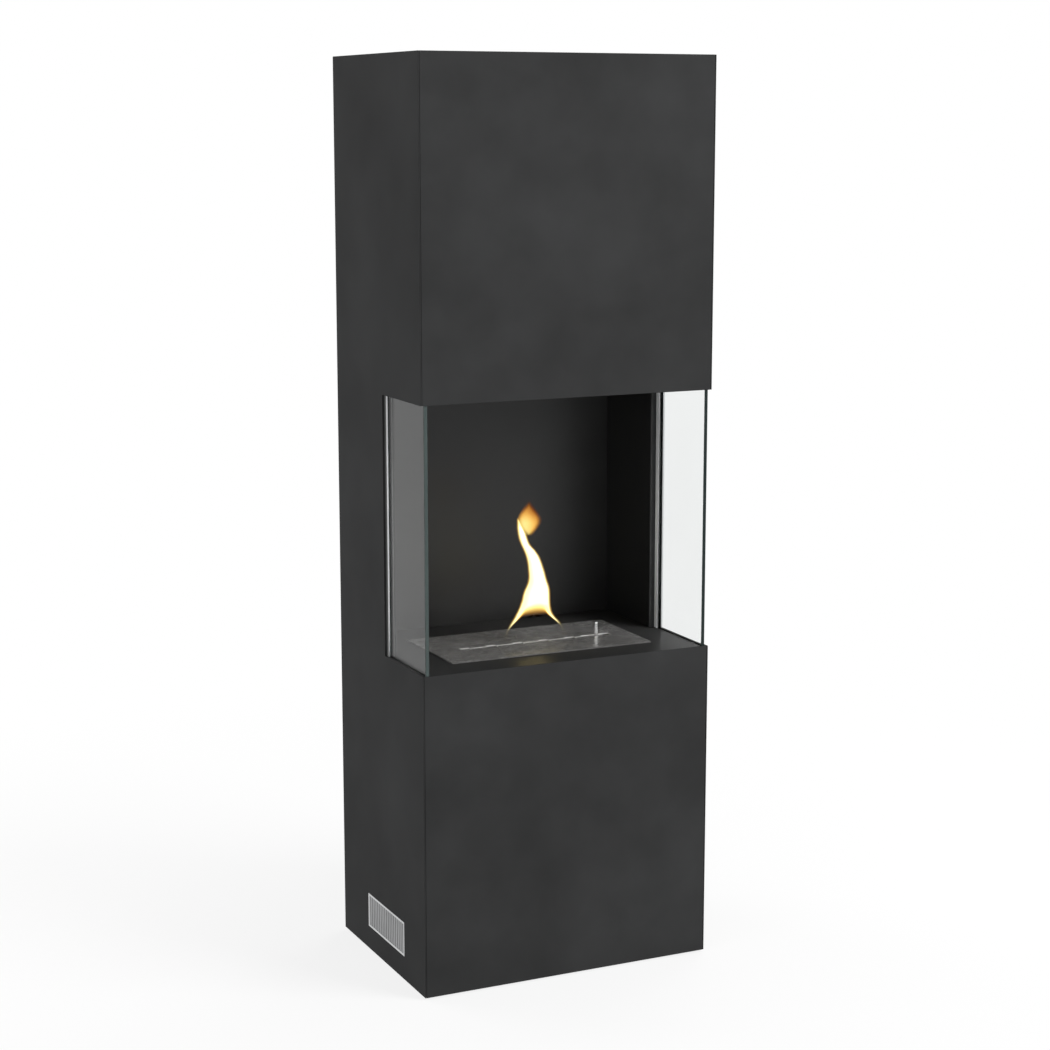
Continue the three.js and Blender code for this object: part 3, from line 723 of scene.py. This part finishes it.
screwShape = {"profile": [(0, -10), (1.2, -9.6), (2, -8.6), (2, 0), (4.4, 0), (4.5, 0.15),
                          (4.45, 0.9), (4.1, 1.6), (3.3, 2.15), (2.2, 2.42), (0, 2.5)],
              "recess": (0.5, 2.1, 1.3, 3)}  # half width, half length, floor and top of the cut
screwPairs = {"back_screw_lower": (227.7, 162.6, 77), "back_screw_upper": (227.7, 162.6, 1340),
              "bracket_screw": (35, 164.9, 1327)}  # the right one of each, under its head


def makeScrews():
    width, length, low, high = screwShape["recess"]
    master = turn("screw_master", screwShape["profile"], (0, 0, 0), axis="y", steps=32)
    carve(master, addBlock("slot_a", (-width, low, -length), (width, high, length)),
          addBlock("slot_b", (-length, low, -width), (length, high, width)))
    smoothSides(master, 35)
    for pairName, (x, y, z) in screwPairs.items():
        for side, sign in sideSigns.items():
            nodeName = f"{pairName}_{side}"
            screw = copyPiece(master, nodeName + "_cross", (sign * x, y, z))
            dress(screw, zincSteel, "cabinet", nodeName)
    bpy.data.objects.remove(master)


makeScrews()
print("screws made")


# Levelling feet: moulded pad with a fluted rim, threaded stem with a turning slot

footShape = {"x": 190, "y": 120, "stem": 4, "root": 3.45, "pitch": 1.25, "crest": (0.4, 0.55),
             "threadFoot": 12, "threadTop": 44.5, "top": 46, "chamfer": 0.4,
             "pad": [(0, 0.4), (14, 0.4), (14.6, 0), (18, 0), (19.4, 0.6), (20, 2), (20, 6),
                     (19.2, 7.2), (16, 8), (8, 8.4), (6, 9), (4.6, 10)],  # radii and heights
             "flutes": 36, "fluteDepth": 0.7, "fluteEdge": 0.15,
             "fluted": (19.7, 2, 6),  # beyond this radius, between these heights
             "steelFrom": 10.5, "slot": ((-5, -0.5, 44.6), (5, 0.5, 47))}


def footProfile():  # the pad, then the thread's ridges, then the stem's top
    root, stem, pitch = footShape["root"], footShape["stem"], footShape["pitch"]
    crestFoot, crestTop = footShape["crest"]
    height = footShape["threadFoot"]
    profile = [*footShape["pad"], (root, height - 1)]
    while height < footShape["threadTop"]:
        profile += [(root, height), (stem, height + pitch * crestFoot),
                    (stem, height + pitch * crestTop)]
        height += pitch
    top = footShape["top"]
    return profile + [(root, height), (root - footShape["chamfer"], top), (0, top)]


def makeFeet():
    steelFrom, steps = footShape["steelFrom"], footShape["flutes"] * 2
    master = turn("foot_master", footProfile(), (0, 0, 0), steps=steps)
    radius, low, high = footShape["fluted"]
    step = math.tau / steps

    def everyOther(middle, normal):
        onRim = middle.xy.length > radius * mm and low * mm < middle.z < high * mm
        return onRim and int(math.atan2(middle.y, middle.x) % math.tau / step) % 2 == 0

    editFaces(master, everyOther)
    bpy.ops.mesh.inset(thickness=footShape["fluteEdge"] * mm, depth=-footShape["fluteDepth"] * mm,
                       use_individual=True)
    pickNone()
    carve(master, addBlock("turning_slot", *footShape["slot"]))
    smoothSides(master, 35)
    for side, across in sideSigns.items():
        for end, along in (("front", -1), ("rear", 1)):
            name = f"{end}_{side}"
            place = (across * footShape["x"], along * footShape["y"], 0)
            foot = copyPiece(master, f"foot_{name}_moulded", place)
            dress(foot, footPlastic, f"foot_{name}", f"levelling_foot_{name}")
            finishFaces(foot, zincSteel, lambda middle, normal: middle.z > steelFrom * mm)
    bpy.data.objects.remove(master)


makeFeet()
print("feet made")


# Flame: nested tongues that glow, over the row of windows. Heights and edges in millimetres.

tongue = {"edges": [(702, -28, -27.2, 0.5), (693.8, -27.6, -21.5, 2), (685, -27.4, -17, 3.5),
                    (676.4, -26, -13, 5), (666.5, -23.4, -9.8, 6), (656.7, -19, -6, 7),
                    (649, -14.8, 2.6, 8), (638, -10, 10.6, 9), (627.3, -7, 15.4, 10),
                    (611, -4.9, 21.3, 11.5), (600, -3.6, 24, 12.5), (592, -6.2, 27.4, 13.5),
                    (585, -10.9, 29.8, 14), (575, -14.6, 30.6, 14), (565, -16, 30.4, 14),
                    (555, -22.2, 31.2, 13), (548, -25.4, 32.2, 12), (541, -30.4, 35.8, 10),
                    (534, -36.8, 43.4, 7), (528, -43.6, 51, 4.5), (521.5, -47.5, 54.5, 3.5),
                    (503.2, -50, 57, 3)],  # height, left edge, right edge, half the depth
          "arch": 543, "legPower": 16}
wisp = {"edges": [(727, -8, -5, 0.8), (720, -12.5, -2, 3), (713, -17.5, 2.5, 4.5),
                  (706, -22, 7.5, 5.5), (700, -24.3, 11.2, 6), (696, -24.6, 12.4, 6),
                  (690, -23, 11, 5.5), (684, -19.5, 6.5, 4.5), (678, -15, 1, 3.2),
                  (671, -12, -4, 2)],
        "arch": 671, "legPower": 3.5}
flameShape = {"segments": 56, "rings": 64, "hollow": 0.12, "roof": 2, "thinnest": 0.25,
              "sway": 3, "swayFrom": 520, "swayOver": 38}  # hollow is a share of the rings


def edgesAt(edges, z):
    for (highZ, *high), (lowZ, *low) in zip(edges, edges[1:]):
        if z >= lowZ:
            share = min(1, (z - lowZ) / (highZ - lowZ))
            return [b + (a - b) * share for a, b in zip(high, low)]
    return edges[-1][1:]


def ease(value, start, end):  # softly from 0 at the start to 1 at the end
    share = max(0.0, min(1.0, (value - start) / (end - start)))
    return share * share * (3 - 2 * share)


def growTongue(name, shape, extra, warmthAt, coverAt):
    # a sphere drawn out between the edges; its lowest rings become the hollow under the arch
    edges, arch, legPower = shape["edges"], shape["arch"], shape["legPower"]
    hollow, thinnest = flameShape["hollow"], flameShape["thinnest"]
    top, tip = edges[0][0] + extra, edges[-1][0] - extra
    pickNone()
    bpy.ops.mesh.primitive_uv_sphere_add(segments=flameShape["segments"],
                                         ring_count=flameShape["rings"], radius=1)
    piece = rename(bpy.context.object, name)
    points = []
    for vertex in piece.data.vertices:
        x, y, z = vertex.co
        flat = math.hypot(x, y)
        across, deep = (x / flat, y / flat) if flat > 1e-5 else (0, 0)
        rise = 1 - math.acos(max(-1, min(1, z))) / math.pi
        rimZ = arch - extra - (arch - extra - tip) * abs(across) ** legPower
        height = rimZ + (top - rimZ) * max(0, (rise - hollow) / (1 - hollow))
        left, right, half = edgesAt(edges, height)
        reach = max(thinnest, (right - left) / 2 + extra)
        thick = max(thinnest, half + extra)
        swayAngle = (height - flameShape["swayFrom"]) / flameShape["swayOver"]
        sway = flameShape["sway"] * math.sin(swayAngle)
        place = Vector(((left + right) / 2 + reach * across, rowY + sway + thick * deep, height))
        if rise < hollow:
            left, right, half = edgesAt(edges, arch)
            roof = Vector(((left + right) / 2, rowY + sway, arch + flameShape["roof"]))
            place = roof.lerp(place, rise / hollow)
        vertex.co = place * mm
        points.append((place, height - rimZ if rise >= hollow else -1, abs(deep)))
    for attribute, valueAt in (("warmth", warmthAt), ("cover", coverAt)):
        values = piece.data.attributes.new(attribute, "FLOAT", "POINT")
        values.data.foreach_set("value", [valueAt(*point) for point in points])
    useModifier(piece, "SMOOTH", factor=0.5, iterations=2)
    pickOnly(piece)
    bpy.ops.object.shade_smooth()
    return piece


# Warmth and cover at a place: its height above the lower rim, and how far it faces front or back

def tongueWarmth(place, aboveRim, deep):
    hottest = 0.9 + 0.1 * ease(deep, 0.3, 0.9)
    rimLoss = 0.55 * (1 - ease(aboveRim, 0, 5 + 19 * deep))
    tipLoss = 0.15 * ease(place.z, 680, 703)
    return max(0.0, hottest - rimLoss - tipLoss)


def tongueCover(place, aboveRim, deep):
    root = 0.012 + 0.988 * ease(place.z, 529, 541)  # hardly seen below, down to the windows
    rim = ease(aboveRim, 0, 2.5 + 25 * deep ** 1.5)
    tip = 1 - 0.6 * ease(place.z, 696, 703)
    return root * rim * tip


def wispWarmth(place, aboveRim, deep):
    rightLoss = 0.32 * ease(place.x, -17, 10)
    tipLoss = 0.44 * ease(place.z, 690, 720)
    return max(0.15, 0.82 - rightLoss - tipLoss)


def wispCover(place, aboveRim, deep):
    tip = 1 - 0.9 * ease(place.z, 704, 727)
    foot = ease(place.z, 670, 684)
    right = 1 - 0.7 * ease(place.x, -2, 13)
    return tip * foot * right


# Layers: name, growth in millimetres, cover, strength of the glow, change of warmth
tongueLayers = [("flame_core", -2.3, 1.0, 2.2, 0.0), ("flame_body", -0.6, 0.42, 1.2, -0.18),
                ("flame_veil", 0.9, 0.12, 1.0, -0.45)]
wispLayers = [(f"flame_wisp_{i}", 1.6 * i - 7, 0.48 - 0.065 * i, 1.1, 0.06 - 0.05 * i)
              for i in range(7)]


def growFlame(shape, layers, warmthAt, coverAt):
    for name, extra, cover, strength, change in layers:
        def warmthHere(*point):
            return max(0.0, warmthAt(*point) + change)

        layer = growTongue(name, shape, extra, warmthHere, coverAt)
        dress(layer, makeFlame(name, strength, cover), "burner")
        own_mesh(layer)


growFlame(tongue, tongueLayers, tongueWarmth, tongueCover)
growFlame(wisp, wispLayers, wispWarmth, wispCover)
print("flame made")


# Studio: pale floor, white surroundings, four large soft lamps, the flame's glow, and the camera

studio = {"ambient": 0.45, "floorSize": 40, "floorTone": 0.86,
          "whiteFrom": (0.4, 0.8), "whiteTo": (1.7, 1.0)}  # metres out on the floor, share of white


def seenDirectly(tree):  # 1 for rays of the camera, of a reflection, or through glass
    path = addNode(tree, "ShaderNodeLightPath")
    seen = addMath(tree, "MAXIMUM", path.outputs["Is Camera Ray"], path.outputs["Is Glossy Ray"])
    return addMath(tree, "MAXIMUM", seen, path.outputs["Is Transmission Ray"])


def makeWorld():
    world = bpy.data.worlds.new("studio")
    bpy.context.scene.world = world
    world.use_nodes = True
    tree = world.node_tree
    tree.nodes.clear()
    ambient = addNode(tree, "ShaderNodeBackground", Color=(1, 1, 1, 1), Strength=studio["ambient"])
    white = addNode(tree, "ShaderNodeBackground", Color=(1, 1, 1, 1), Strength=1.0)
    output = addNode(tree, "ShaderNodeOutputWorld")
    tree.links.new(chooseShader(tree, seenDirectly(tree), ambient, white), output.inputs["Surface"])


def makeFloor():
    pickNone()
    bpy.ops.mesh.primitive_plane_add(size=studio["floorSize"])
    floor = rename(bpy.context.object, "studio_floor")
    material = bpy.data.materials.new("studio_floor")
    material.use_nodes = True
    tree = material.node_tree
    tree.nodes.remove(tree.nodes["Principled BSDF"])
    matt = addNode(tree, "ShaderNodeBsdfDiffuse", Color=(*grey(studio["floorTone"]), 1))
    white = addNode(tree, "ShaderNodeEmission", Color=(1, 1, 1, 1), Strength=1.0)
    where = addNode(tree, "ShaderNodeTexCoord")
    away = addNode(tree, "ShaderNodeVectorMath")
    away.operation = "LENGTH"
    tree.links.new(where.outputs["Object"], away.inputs[0])
    fade = addSpread(tree, away.outputs["Value"], *zip(studio["whiteFrom"], studio["whiteTo"]))
    share = addMath(tree, "MULTIPLY", fade, seenDirectly(tree))
    surface = chooseShader(tree, share, matt, white)
    tree.links.new(surface, tree.nodes["Material Output"].inputs["Surface"])
    floor.data.materials.append(material)


lamps = {"key": ((2.7, -3.0, 3.2), 2.4, 195), "fill": ((-3.2, -1.9, 1.9), 2.4, 14),
         "backLeft": ((-2.4, 3.0, 2.2), 2.2, 46),
         "backRight": ((2.8, 2.4, 1.8), 2.2, 50)}  # place and size in metres, watts
lampAim = Vector((0, 0, 0.75))


def makeLamps():
    for name, (place, size, power) in lamps.items():
        data = bpy.data.lights.new(name, "AREA")
        data.size, data.energy = size, power
        lamp = bpy.data.objects.new(name, data)
        bpy.context.scene.collection.objects.link(lamp)
        lamp.location = place
        lamp.rotation_euler = (lampAim - Vector(place)).to_track_quat("-Z", "Y").to_euler()
        lamp.visible_camera = lamp.visible_glossy = False


flameGlow = {"place": (2, rowY, 554), "radius": 31, "power": 0.105, "colour": (1.0, 0.8, 0.33),
             "shinesOn": "chamber_floor_rounded"}  # millimetres, watts


def makeFlameGlow():  # on the dark floor in front of the burner, and on nothing else
    data = bpy.data.lights.new("flame_glow", "POINT")
    data.shadow_soft_size, data.energy = flameGlow["radius"] * mm, flameGlow["power"]
    data.color = flameGlow["colour"]
    glow = bpy.data.objects.new("flame_glow", data)
    bpy.context.scene.collection.objects.link(glow)
    glow.location = Vector(flameGlow["place"]) * mm
    glow.visible_camera = glow.visible_transmission = False
    lit = bpy.data.collections.new("lit_by_flame_glow")
    lit.objects.link(bpy.data.objects[flameGlow["shinesOn"]])
    glow.light_linking.receiver_collection = lit


cameraSetup = {"place": (-1.467, -3.129, 1.303), "down": 10.2, "turn": -25.2,
               "lens": 77.0, "sensor": 36}  # metres, degrees, millimetres


def makeCamera():
    data = bpy.data.cameras.new("camera")
    data.lens, data.sensor_width = cameraSetup["lens"], cameraSetup["sensor"]
    camera = bpy.data.objects.new("camera", data)
    bpy.context.scene.collection.objects.link(camera)
    camera.location = cameraSetup["place"]
    pitch, turned = math.radians(90 - cameraSetup["down"]), math.radians(cameraSetup["turn"])
    camera.rotation_euler = (pitch, 0, turned)
    bpy.context.scene.camera = camera


makeWorld()
makeFloor()
makeLamps()
makeFlameGlow()
makeCamera()
bpy.context.scene.view_settings.view_transform = "Standard"
print("studio made")
